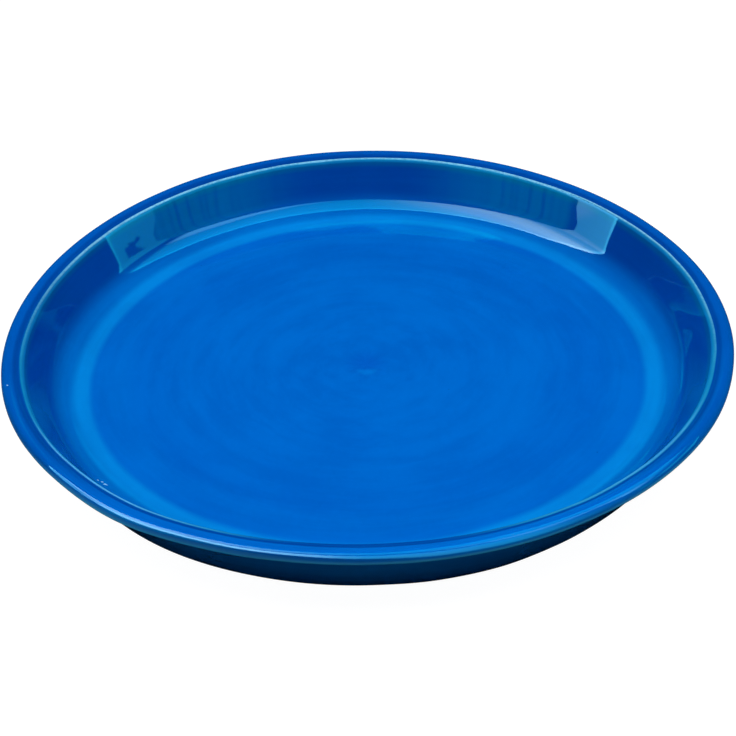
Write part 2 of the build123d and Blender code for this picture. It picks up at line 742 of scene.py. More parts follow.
def wheel_group() -> bpy.types.NodeTree:
    """Builds the marks that a turning pot takes from a tool or a brush.

    A point at distance r from the axis, in the direction (c, s), is looked up in cloudy
    noise at (c, s) / Reach and (r + z) / Spacing, so the pattern is drawn out round the
    axis, has no seam, and changes quickly only from ring to ring.

    Returns:
        The group, with inputs Vector, Spacing and Reach and the output Marks, 0 to 1.
    """
    number = "NodeSocketFloat"
    takes = {"Vector": ("NodeSocketVector", None), "Spacing": (number, 4 * MM), "Reach": (number, 1.0)}
    sheet = new_group("wheel_marks", takes, {"Marks": number})
    given = sheet.tree.nodes["takes"].outputs
    split = sheet.split(given["Vector"])
    flat = sheet.add("ShaderNodeCombineXYZ", {0: split["X"], 1: split["Y"]}).outputs[0]
    reach = sheet.measure("LENGTH", flat)
    inside = sheet.math("MAXIMUM", reach, 0.5 * MM)
    swing = sheet.math("MULTIPLY", inside, given["Reach"])
    ring = sheet.math("DIVIDE", sheet.math("ADD", reach, split["Z"]), given["Spacing"])
    x = sheet.math("DIVIDE", split["X"], swing)
    y = sheet.math("DIVIDE", split["Y"], swing)
    place = sheet.add("ShaderNodeCombineXYZ", {0: x, 1: y, 2: ring}).outputs[0]
    marks = sheet.noise(place, 1.0, detail=4.0, rough=0.6)
    sheet.feed(sheet.tree.nodes["gives"].inputs["Marks"], marks)
    return sheet.tree


def speck_group() -> bpy.types.NodeTree:
    """Builds specks scattered in a surface.

    Each cell of a Voronoi pattern has one speck at its centre where the cell's own random
    number is under Share, and its edge is where the distance from the centre is Size.

    Returns:
        The group, with inputs Vector, Spacing, Size and Share and the output Mask, 0 to 1.
    """
    number = "NodeSocketFloat"
    takes = {
        "Vector": ("NodeSocketVector", None),
        "Spacing": (number, 3 * MM),
        "Size": (number, 0.2),
        "Share": (number, 0.3),
    }
    sheet = new_group("specks", takes, {"Mask": number})
    given = sheet.tree.nodes["takes"].outputs
    scale = sheet.math("DIVIDE", 1.0, given["Spacing"])
    cells = sheet.add("ShaderNodeTexVoronoi", {"Vector": given["Vector"], "Scale": scale}).outputs
    chance = sheet.add("ShaderNodeSeparateColor", {0: cells["Color"]}).outputs[0]
    chosen = sheet.math("LESS_THAN", chance, given["Share"])
    edge = sheet.math("DIVIDE", cells["Distance"], given["Size"])
    dot = sheet.remap(edge, 0.6, 1.0, 1.0, 0.0)
    sheet.feed(sheet.tree.nodes["gives"].inputs["Mask"], sheet.math("MULTIPLY", dot, chosen))
    return sheet.tree


@dataclass(frozen=True)
class Effects:
    """The shader groups that more than one finish uses."""

    wheel: bpy.types.NodeTree
    specks: bpy.types.NodeTree

    @staticmethod
    def build() -> "Effects":
        """Builds each group once."""
        return Effects(wheel_group(), speck_group())


def place_group(
    sheet: Sheet, group: bpy.types.NodeTree, inputs: dict[str, Any]
) -> bpy.types.NodeSocket:
    """Puts a group into a material.

    Args:
        sheet: the material.
        group: the group.
        inputs: what each of its inputs is, by name.

    Returns:
        The group's output.
    """
    node = sheet.add("ShaderNodeGroup", node_tree=group)
    for label, value in inputs.items():
        sheet.feed(node.inputs[label], value)
    return node.outputs[0]


def turning_marks(
    sheet: Sheet, effects: Effects, spot: bpy.types.NodeSocket, marks: Marks
) -> bpy.types.NodeSocket:
    """Draws turning marks on a surface.

    Args:
        sheet: the material.
        effects: the shared shader groups.
        spot: the place on the surface.
        marks: how far apart and how long they are.

    Returns:
        The marks, from 0 to 1.
    """
    spacing, reach = marks
    inputs = {"Vector": spot, "Spacing": spacing, "Reach": reach}
    return place_group(sheet, effects.wheel, inputs)


def strewn_specks(
    sheet: Sheet, effects: Effects, spot: bpy.types.NodeSocket, specks: Specks
) -> bpy.types.NodeSocket:
    """Strews specks over a surface.

    Args:
        sheet: the material.
        effects: the shared shader groups.
        spot: the place on the surface.
        specks: how far apart, how large and how many they are.

    Returns:
        The specks, from 0 to 1.
    """
    spacing, size, share = specks
    inputs = {"Vector": spot, "Spacing": spacing, "Size": size, "Share": share}
    return place_group(sheet, effects.specks, inputs)


def new_material(name: str) -> Sheet:
    """Starts a material with an empty node tree.

    Args:
        name: the material's name.

    Returns:
        The sheet for its nodes.
    """
    material = bpy.data.materials.new(name)
    material.use_nodes = True
    return Sheet(material.node_tree)


def close_material(sheet: Sheet, surface: bpy.types.NodeSocket) -> None:
    """Joins the finished surface to the material's output."""
    sheet.add("ShaderNodeOutputMaterial", {"Surface": surface})


@dataclass(frozen=True)
class GlazeFinish:
    """Glossy cobalt glaze: deep where it pools, teal where it thins over the lip.

    Places round the rim are told by how far they lie towards the front, or towards the side
    that is named: 1 is straight that way, 0 is to either side of it and -1 is opposite.

    Attributes:
        ring_radius: the middle of the ring of pooled light on the floor.
        ring_width: how wide it is.
        annulus_radius: where the floor is a little deeper, before the ring.
        annulus_width: how far inwards that fades.
        roughness: how rough the glaze is where it is smoothest.
        cloud_scale: how fine the soft clouds are.
        grain_scale: how fine the grain of the lip and the flecks is.
        streaks: the streaks of the brush.
        pinholes: the pinholes.
        patchiness: how far the clouds and the streaks lighten and darken the glaze.
        wander: how far slow noise shifts the colours along the section.
        wander_scale: how fine that noise is.
        ripple_scale: how fine the ripple is.
        relief: how deep the streaks, the ripple and the pinholes are.
        relief_share: how much of that depth shows.
        lip_shift: how far the lip's marks are drawn in on one side and out on the other.
        lip_breaks: the stretch of the lip where the glaze thins, from the lip's corner.
        lip_crest: the paler line on it, partly thinner glaze and partly a painted highlight.
        lip_glint: the painted highlight line, brightest at the two shoulders of the front.
        rim_top: the top of the rim, from the gutter and from the roll.
        lip_highlight_side: the direction, in degrees, where the lip's painted highlight is brightest.
        lip_highlight_from: where, towards that side, the painted highlight starts, and is brightest.
        front_light_from: where the painted light on the rim's top starts, and is brightest.
        lip_front_shade_from: where the lip's painted shade starts towards the front, and is full.
        shoulder_start: where the two shoulders of the front start, and are full.
        shoulder_end: where they start to fade, and are gone.
        shoulder_shares: how much of the glint shows on them, and straight in front.
        shoulder_right: where, towards the right, the glint starts to fade, and has faded.
        right_share: how much of it is left there.
        pinhole: the colour of the pinholes.
        bare: the colour of a chip where the glaze is thinnest, and of a painted highlight.
        pale_chip_and_highlight_spots: where each of them is, and its size.
    """

    middle: str = "#0256BE"
    dish: str = "#005FC3"
    annulus: str = "#005CC0"
    before_ring: str = "#0060C2"
    ring: str = "#037CD0"
    cove: str = "#0062BC"
    wall: str = "#003B92"
    under_lip: str = "#004F8A"
    lip: str = "#005CAE"
    teal_lip: str = "#107CB4"
    # The crest of the lip: thin glaze, with a painted highlight over it.
    lip_thin_and_highlight: str = "#82C4E6"
    # Painted highlight on the lip at the two shoulders of the front.
    front_lip_highlight: str = "#5CB0F4"
    gutter: str = "#003E97"
    band: str = "#0050B0"
    # Painted light on the top of the rim towards the front.
    front_band_lit: str = "#0060C8"
    roll: str = "#0056B4"
    under_roll: str = "#0061BC"
    underside: str = "#1E84C4"
    under_rim: str = "#0A6090"
    outer_wall: str = "#0462AE"
    foot: str = "#004A8C"
    ring_radius: float = 120.0 * MM
    ring_width: float = 5.0 * MM
    annulus_radius: float = 95.0 * MM
    annulus_width: float = 26.0 * MM
    roughness: float = 0.025
    cloud_scale: float = 24.0
    grain_scale: float = 700.0
    streaks: Marks = (7.0 * MM, 0.5)
    pinholes: Specks = (11.0 * MM, 0.035, 0.16)
    patchiness: float = 0.10
    wander: float = 1.0 * MM
    wander_scale: float = 30.0
    ripple_scale: float = 260.0
    relief: float = 0.012 * MM
    relief_share: float = 0.35
    lip_shift: float = 0.3 * MM
    lip_breaks: Span = (-1.9 * MM, -0.4 * MM, 0.45 * MM, 0.95 * MM)
    lip_crest: Span = (-0.4 * MM, 0.25 * MM, 0.5 * MM, 0.9 * MM)
    lip_glint: Span = (-0.1 * MM, 0.2 * MM, 0.45 * MM, 0.75 * MM)
    rim_top: Span = (-0.6 * MM, 0.7 * MM, 0.0, 1.5 * MM)
    lip_highlight_side: float = 84.0
    lip_highlight_from: Reach = (-0.3, 0.75)
    front_light_from: Reach = (0.5, 0.85)
    lip_front_shade_from: Reach = (0.88, 0.98)
    shoulder_start: Reach = (0.35, 0.6)
    shoulder_end: Reach = (0.7, 0.95)
    shoulder_shares: Reach = (0.75, 0.05)
    shoulder_right: Reach = (0.0, 0.6)
    right_share: float = 0.5
    pinhole: str = "#002A66"
    bare: str = "#8CC8F0"
    pale_chip_and_highlight_spots: tuple[tuple[tuple[float, float, float], float], ...] = (
        # A chip at the left of the rim.
        ((-143.6 * MM, -37.2 * MM, 28.4 * MM), 0.7 * MM),
        # Three dots of painted highlight at the front left.
        ((-105.6 * MM, -75.4 * MM, 9.2 * MM), 1.0 * MM),
        ((-104.2 * MM, -76.0 * MM, 8.5 * MM), 0.9 * MM),
        ((-102.8 * MM, -77.0 * MM, 8.2 * MM), 1.1 * MM),
    )

    def stops(self, form: Form) -> list[tuple[float, str]]:
        """Lists the glaze's colours along the section.

        Args:
            form: the pot, which says where its corners are.

        Returns:
            Distances along the outline, rising, each with its colour.
        """
        lip = form.place(Corner.LIP)
        gutter = form.place(Corner.GUTTER)
        roll = form.place(Corner.RIM_TOP)
        under = form.place(Corner.RIM_UNDERSIDE)
        root = form.place(Corner.RIM_ROOT)
        foot = form.place(Corner.FOOT_OUTER)
        dimple = form.section.dimple_radius
        return [
            (0.0, self.middle),
            (1.3 * dimple, self.dish),
            (self.annulus_radius - self.annulus_width, self.dish),
            (self.annulus_radius, self.annulus),
            (self.ring_radius - 2.6 * self.ring_width, self.before_ring),
            (self.ring_radius - self.ring_width, self.before_ring),
            (self.ring_radius - 0.3 * self.ring_width, self.ring),
            (self.ring_radius + 0.3 * self.ring_width, self.ring),
            (self.ring_radius + 1.3 * self.ring_width, self.cove),
            (lip - 14 * MM, self.wall),
            (lip - 4.5 * MM, self.wall),
            (lip - 1.4 * MM, self.under_lip),
            (lip - 0.4 * MM, self.lip),
            (lip + 0.2 * MM, self.lip),
            (lip + 0.7 * MM, self.gutter),
            (gutter + 0.9 * MM, self.gutter),
            (gutter + 2.2 * MM, self.band),
            (roll - 0.6 * MM, self.band),
            (roll + 1.2 * MM, self.roll),
            (under - 0.7 * MM, self.under_roll),
            (under - 0.2 * MM, self.underside),
            (under + 0.2 * MM, self.underside),
            (under + 0.7 * MM, self.under_rim),
            (root + 2.5 * MM, self.outer_wall),
            (foot - 8 * MM, self.outer_wall),
            (foot, self.foot),
        ]

    def zone(
        self, sheet: Sheet, along: bpy.types.NodeSocket, first: float, last: float, span: Span
    ) -> bpy.types.NodeSocket:
        """Marks a stretch of the section that fades in and out.

        Args:
            sheet: the material.
            along: the distance along the section.
            first: the place that the start of the stretch is measured from.
            last: the place that its end is measured from.
            span: where the mark begins, is full, fades and ends.

        Returns:
            A socket from 0 to 1.
        """
        rise = sheet.remap(along, first + span[0], first + span[1], 0.0, 1.0)
        fall = sheet.remap(along, last + span[2], last + span[3], 1.0, 0.0)
        return sheet.math("MULTIPLY", rise, fall)

    def build(self, form: Form, effects: Effects) -> bpy.types.Material:
        """Builds the glaze.

        The distance along the section, shifted a little by slow noise so that no edge is
        drawn with a compass, picks the colour from the stops. Over the lip it thins to teal,
        with a crest that is paler from thin glaze and a painted highlight, brightest towards the
        back, and a painted highlight at the two shoulders of the front; straight in front the
        lip is painted dark as shade, and the top of the rim is painted lighter as lit. A few
        pale flecks are a bare chip and a painted highlight. Soft clouds and the streaks of the
        brush darken and lighten it, and pinholes and a fine ripple finish it.

        Args:
            form: the pot that the glaze covers.
            effects: the shared shader groups.

        Returns:
            The material.
        """
        sheet = new_material("cobalt_glaze")
        spot = sheet.add("ShaderNodeTexCoord").outputs["Object"]
        along = sheet.kept("along")
        slow = sheet.noise(spot, self.wander_scale, detail=2.0)
        drift = sheet.math("MULTIPLY_ADD", sheet.math("SUBTRACT", slow, 0.5), self.wander, along)
        stops = self.stops(form)
        reach = stops[-1][0]
        share = sheet.math("DIVIDE", drift, reach)
        base = sheet.ramp(share, [(place / reach, linear(colour)) for place, colour in stops])

        lip = form.place(Corner.LIP)
        gutter = form.place(Corner.GUTTER)
        roll = form.place(Corner.RIM_TOP)
        way = sheet.add("ShaderNodeVectorMath", {0: spot}, operation="NORMALIZE").outputs[0]
        ways = sheet.split(way)
        ahead = sheet.math("MULTIPLY", ways["Y"], -1.0)
        edge = sheet.math("MULTIPLY_ADD", ways["X"], -self.lip_shift, drift)
        breaks = self.zone(sheet, edge, lip, lip, self.lip_breaks)
        crest = self.zone(sheet, edge, lip, lip, self.lip_crest)
        glint = self.zone(sheet, drift, lip, lip, self.lip_glint)
        top = self.zone(sheet, drift, gutter, roll, self.rim_top)
        turn = math.radians(self.lip_highlight_side)
        facing = sheet.measure("DOT_PRODUCT", way, (math.cos(turn), math.sin(turn), 0.0))
        grain = sheet.noise(spot, self.grain_scale, detail=1.0)
        grains = sheet.remap(grain, 0.3, 0.6, 0.6, 1.0)
        # Painted highlight on the lip's crest over its thin glaze, brightest towards the back.
        pale = sheet.math("MULTIPLY", sheet.remap(facing, *self.lip_highlight_from, 0.0, 1.0), grains)
        thin_and_highlit_crest = sheet.math("MULTIPLY", crest, pale)
        # Painted highlight on the lip at the two shoulders of the front, weaker on the right.
        past_side = sheet.remap(ahead, *self.shoulder_start, 0.0, 1.0)
        before_front = sheet.remap(ahead, *self.shoulder_end, *self.shoulder_shares)
        shoulders = sheet.math("MULTIPLY", past_side, before_front)
        leftward = sheet.remap(ways["X"], *self.shoulder_right, 1.0, self.right_share)
        shoulders = sheet.math("MULTIPLY", shoulders, leftward)
        # Painted shade: straight in front the lip takes the gutter's dark colour, where it catches no
        # highlight.
        thick = sheet.remap(ahead, *self.lip_front_shade_from, 0.0, 1.0)
        front = sheet.remap(ahead, *self.front_light_from, 0.0, 1.0)
        thin = sheet.blend(thin_and_highlit_crest, linear(self.teal_lip), linear(self.lip_thin_and_highlight))
        thin = sheet.blend(sheet.math("MULTIPLY", glint, shoulders), thin, linear(self.front_lip_highlight))
        thin = sheet.blend(thick, thin, linear(self.gutter))
        base = sheet.blend(breaks, base, thin)
        # Painted light: the top of the rim is lighter towards the front.
        base = sheet.blend(sheet.math("MULTIPLY", top, front), base, linear(self.front_band_lit))
        # Pale flecks: a bare chip, and dots of painted highlight.
        for place, size in self.pale_chip_and_highlight_spots:
            away = sheet.measure("DISTANCE", spot, place)
            ragged = sheet.math("MULTIPLY_ADD", sheet.math("SUBTRACT", grains, 0.8), 2.0 * size, away)
            fleck = sheet.remap(ragged, 0.6 * size, size, 0.9, 0.0)
            base = sheet.blend(fleck, base, linear(self.bare))

        clouds = sheet.noise(spot, self.cloud_scale, detail=5.0, rough=0.6)
        streaks = turning_marks(sheet, effects, spot, self.streaks)
        stir = sheet.math("ADD", clouds, streaks)
        tone = sheet.remap(stir, 0.7, 1.3, 1.0 - self.patchiness, 1.0 + self.patchiness)
        blue = sheet.math("POWER", tone, 0.6)
        shade = sheet.add("ShaderNodeCombineColor", {0: tone, 1: tone, 2: blue}).outputs[0]
        body = sheet.blend(1.0, base, shade, "MULTIPLY")

        holes = strewn_specks(sheet, effects, spot, self.pinholes)
        body = sheet.blend(sheet.math("MULTIPLY", holes, 0.5), body, linear(self.pinhole))

        rough = sheet.remap(clouds, 0.3, 0.7, self.roughness, 1.6 * self.roughness)
        fine = sheet.noise(spot, self.ripple_scale, detail=2.0)
        height = sheet.math("MULTIPLY_ADD", streaks, 0.5, sheet.math("MULTIPLY", fine, 0.12))
        height = sheet.math("SUBTRACT", height, sheet.math("MULTIPLY", holes, 2.0))
        depth = {"Height": height, "Strength": self.relief_share, "Distance": self.relief}
        bump = sheet.add("ShaderNodeBump", depth)
        surface = sheet.add(
            "ShaderNodeBsdfPrincipled",
            {"Base Color": body, "Roughness": rough, "IOR": 1.5, "Normal": bump.outputs[0]},
        )
        close_material(sheet, surface.outputs[0])
        return bpy.data.materials["cobalt_glaze"]


@dataclass(frozen=True)
class ClayFinish:
    """Bare fired buff clay: matte, gritty and speckled, with the lines of the turning tool.

    Attributes:
        pale: the lighter of the clay's two buffs.
        deep: the darker one.
        grit: the colour of the dark grit.
        fired_edge: the colour of the toasted line beside the glaze.
        roughness: how rough the clay is where it is smoothest.
        cloud_scale: how fine its clouds are.
        grain_scale: how fine its grain is.
        marks: the lines of the turning tool.
        fine_grit: the small specks of grit.
        coarse_grit: the large ones.
        toasted: how far the toasted line fades out from the glaze.
        relief: how deep the lines and the grain are.
        relief_share: how much of that depth shows.
    """

    pale: str = "#D2BC94"
    deep: str = "#A98A62"
    grit: str = "#6E4A30"
    fired_edge: str = "#B4794A"
    roughness: float = 0.82
    cloud_scale: float = 38.0
    grain_scale: float = 900.0
    marks: Marks = (1.3 * MM, 1.6)
    fine_grit: Specks = (1.9 * MM, 0.16, 0.35)
    coarse_grit: Specks = (6.5 * MM, 0.10, 0.4)
    toasted: float = 5.0 * MM
    relief: float = 0.12 * MM
    relief_share: float = 0.7

    def build(self, form: Form, effects: Effects) -> bpy.types.Material:
        """Builds the clay.

        Clouds and turning marks mix a pale and a deep buff, a warmer toasted line follows
        the edge of the glaze, and dark grit is scattered at two sizes.

        Args:
            form: the pot.
            effects: the shared shader groups.

        Returns:
            The material.
        """
        sheet = new_material("buff_clay")
        spot = sheet.add("ShaderNodeTexCoord").outputs["Object"]
        along = sheet.kept("along")
        clouds = sheet.noise(spot, self.cloud_scale, detail=6.0, rough=0.62)
        marks = turning_marks(sheet, effects, spot, self.marks)
        stir = sheet.remap(sheet.math("ADD", clouds, marks), 0.72, 1.28, 0.0, 1.0)
        body = sheet.blend(stir, linear(self.deep), linear(self.pale))
        foot = form.place(Corner.FOOT_OUTER)
        toast = sheet.remap(along, foot, foot + self.toasted, 0.7, 0.0)
        body = sheet.blend(toast, body, linear(self.fired_edge))
        fine = strewn_specks(sheet, effects, spot, self.fine_grit)
        coarse = strewn_specks(sheet, effects, spot, self.coarse_grit)
        grit = sheet.math("MAXIMUM", fine, coarse)
        body = sheet.blend(sheet.math("MULTIPLY", grit, 0.6), body, linear(self.grit))
        grain = sheet.noise(spot, self.grain_scale, detail=4.0, rough=0.7)
        height = sheet.math("MULTIPLY_ADD", marks, 0.8, sheet.math("MULTIPLY", grain, 0.5))
        depth = {"Height": height, "Strength": self.relief_share, "Distance": self.relief}
        bump = sheet.add("ShaderNodeBump", depth)
        rough = sheet.remap(clouds, 0.3, 0.7, self.roughness, min(1.0, self.roughness + 0.12))
        surface = sheet.add(
            "ShaderNodeBsdfPrincipled",
            {"Base Color": body, "Roughness": rough, "IOR": 1.45, "Normal": bump.outputs[0]},
        )
        close_material(sheet, surface.outputs[0])
        return bpy.data.materials["buff_clay"]


@dataclass
class ClayBody:
    """The fired clay pot, which carries the shape and stands on its bare foot."""

    form: Form
    finish: ClayFinish = field(default_factory=ClayFinish)

    def build(self, effects: Effects) -> bpy.types.Object:
        """Turns the whole outline and dresses it.

        Args:
            effects: the shared shader groups.

        Returns:
            The clay piece.
        """
        along = np.repeat(self.form.clay_rows[:, None], self.form.columns, axis=1)
        piece = turned_mesh("saucer_clay", self.form.surface(along, np.zeros_like(along)), along)
        piece.data.materials.append(self.finish.build(self.form, effects))
        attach(piece, "root")
        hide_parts("clay_body")
        return piece


@dataclass
class GlazeCoat:
    """The coat of glaze: thin over the lip, pooled in the gutter, and thick where it hangs.

    It hangs at the lower edge of the rim, and in a rolled bead at its end on the foot. That
    end wanders up and down a little, and the rows near it follow it.

    Attributes:
        form: the pot that it covers.
        finish: the glaze's look.
        thin: its thickness over the lip.
        pooled: its thickness in the gutter and under the rim.
        bead: its thickness near its end on the foot.
        hanging: its thickness at the rim's lower edge.
        edge_taper: how far from its end it starts to round off.
        edge_wander: how far its end wanders, on the whole.
        edge_beats: the fewest waves round the foot, and one past the most.
        edge_seed: the seed of the waves' sizes and phases.
        run_step: how far apart its rows are on the straight.
        turn_step: how much of a turn lies between them in a bend.
    """

    form: Form
    finish: GlazeFinish = field(default_factory=GlazeFinish)
    thin: float = 0.34 * MM
    pooled: float = 0.70 * MM
    bead: float = 0.85 * MM
    hanging: float = 0.85 * MM
    edge_taper: float = 1.1 * MM
    edge_wander: float = 0.28 * MM
    edge_beats: tuple[int, int] = (3, 19)
    edge_seed: int = 21
    run_step: float = 3.5 * MM
    turn_step: float = math.radians(8.0)

    def edge(self) -> float:
        """Finds where the coat ends on the foot's rounded corner, at the glaze line's height.

        Returns:
            The distance along the outline.
        """
        outline = self.form.outline
        outside = outline.length > self.form.place(Corner.RIM_ROOT)
        outside &= outline.length < self.form.place(Corner.FOOT_INNER)
        rising = outline.points[outside, 1][::-1]
        lengths = outline.length[outside][::-1]
        return float(np.interp(self.form.section.glaze_line_height, rising, lengths))

    def edges(self) -> np.ndarray:
        """Moves the end of the coat up and down round the foot, as a sum of seeded waves.

        Returns:
            The distance along the outline in each column.
        """
        chance = np.random.default_rng(self.edge_seed)
        beats = np.arange(*self.edge_beats)
        sizes = chance.normal(size=len(beats)) / np.sqrt(beats)
        phases = chance.uniform(0.0, 2 * math.pi, len(beats))
        waves = np.sin(self.form.turns[:, None] * beats + phases) @ sizes
        return self.edge() + self.edge_wander * waves / np.abs(waves).max() * 2.0

    def thickness(self, along: np.ndarray, ends: np.ndarray) -> np.ndarray:
        """Works out how thick the coat is.

        The thickness eases from place to place along the section. Near the end, at distance
        d from it, it is cut to the height of a quarter round: the square root of
        1 - (1 - d / taper) squared.

        Args:
            along: distances along the outline, as rows by columns.
            ends: where the coat ends in each column.

        Returns:
            The thickness, in the shape of `along`.
        """
        even = self.form.section.glaze_thickness
        lip = self.form.place(Corner.LIP)
        gutter = self.form.place(Corner.GUTTER)
        roll = self.form.place(Corner.RIM_TOP)
        under = self.form.place(Corner.RIM_UNDERSIDE)
        root = self.form.place(Corner.RIM_ROOT)
        end = self.edge()
        steps = [
            (0.0, even),
            (lip - 9 * MM, even),
            (lip, self.thin),
            (gutter, self.pooled),
            (roll, even),
            (under, self.hanging),
            (root, self.pooled),
            (root + 8 * MM, even),
            (end - 7 * MM, even),
            (end - 2 * MM, self.bead),
            (end, self.bead),
        ]
        places, values = zip(*steps)
        coat = eased(along, places, values)
        left = np.clip((ends - along) / self.edge_taper, 0.0, 1.0)
        return coat * np.sqrt(1.0 - (1.0 - left) ** 2)

    def build(self, effects: Effects) -> bpy.types.Object:
        """Turns the coat's outer face, and its inner face along the clay, and dresses it.

        Args:
            effects: the shared shader groups.

        Returns:
            The glaze piece.
        """
        form = self.form
        end = self.edge()
        ends = self.edges()
        root = form.place(Corner.RIM_ROOT)
        rows = form.outline.stations(0.0, end, self.run_step, self.turn_step)
        shift = np.clip((rows - root) / (end - root), 0.0, 1.0)
        outer = rows[:, None] + (ends - end)[None, :] * shift[:, None] ** 6
        inner_rows = form.clay_rows[form.clay_rows < end - 3 * self.edge_wander][::-1]
        inner = np.repeat(inner_rows[:, None], form.columns, axis=1)
        outer_face = form.surface(outer, self.thickness(outer, ends))
        inner_face = form.surface(inner, np.zeros_like(inner))
        points = np.concatenate([outer_face, inner_face])
        piece = turned_mesh("saucer_glaze", points, np.concatenate([outer, inner]))
        piece.data.materials.append(self.finish.build(form, effects))
        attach(piece, "root")
        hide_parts("glaze_coat")
        return piece


class Ray(Enum):
    """The kinds of light path that the studio answers differently, by their socket names."""

    CAMERA = "Is Camera Ray"
    GLOSSY = "Is Glossy Ray"
    TRANSMISSION = "Is Transmission Ray"


@dataclass
class Panel:
    """A glowing face that only the glaze mirrors: a strip between a low and a high edge.

    The lamps light the saucer, and panels in their places show in the glaze.

    Attributes:
        name: the panel's name.
        low: the points of one edge, in order.
        high: the points of the other edge, as many.
        along: how far along the panel each pair of points is, from 0 to 1.
        glow: distances along, rising, each with its red, green and blue light.
        lift: shares of the way from the low to the high edge, each with a factor.
        swallowed: what cobalt glass leaves of the light that it mirrors twice.
    """

    name: str
    low: np.ndarray
    high: np.ndarray
    along: np.ndarray
    glow: Glow
    lift: Table
    swallowed: Colour = (0.0, 1.0, 1.0, 1.0)

    def build(self) -> bpy.types.Object:
        """Joins the two edges with a row of faces and makes them glow.

        Returns:
            The panel, which the camera, plain surfaces and shadows do not see.
        """
        count = len(self.low)
        mesh = bpy.data.meshes.new(self.name)
        first = np.arange(count - 1)
        faces = np.stack([first, first + 1, first + 1 + count, first + count], axis=-1)
        mesh.from_pydata(np.concatenate([self.low, self.high]).tolist(), [], faces.tolist())
        layer = mesh.attributes.new("along", "FLOAT", "POINT")
        layer.data.foreach_set("value", np.tile(self.along, 2).astype(np.float32))
        layer = mesh.attributes.new("across", "FLOAT", "POINT")
        layer.data.foreach_set("value", np.repeat([0.0, 1.0], count).astype(np.float32))
        panel = bpy.data.objects.new(self.name, mesh)
        bpy.context.scene.collection.objects.link(panel)

        sheet = new_material(self.name)
        along = sheet.kept("along")
        across = sheet.kept("across")
        most = max(max(light) for _, light in self.glow)
        stops = [(place, (*(channel / most for channel in light), 1.0)) for place, light in self.glow]
        peak = max(factor for _, factor in self.lift)
        steps = [(place, grey(factor / peak)) for place, factor in self.lift]
        strength = sheet.math("MULTIPLY", sheet.ramp(across, steps), most * peak)
        bounces = sheet.add("ShaderNodeLightPath").outputs["Glossy Depth"]
        twice = sheet.math("GREATER_THAN", bounces, 1.5)
        colour = sheet.blend(twice, sheet.ramp(along, stops), self.swallowed, "MULTIPLY")
        light = sheet.add("ShaderNodeEmission", {"Color": colour, "Strength": strength})
        close_material(sheet, light.outputs[0])
        mesh.materials.append(bpy.data.materials[self.name])
        panel.visible_camera = False
        panel.visible_diffuse = False
        panel.visible_shadow = False
        return panel


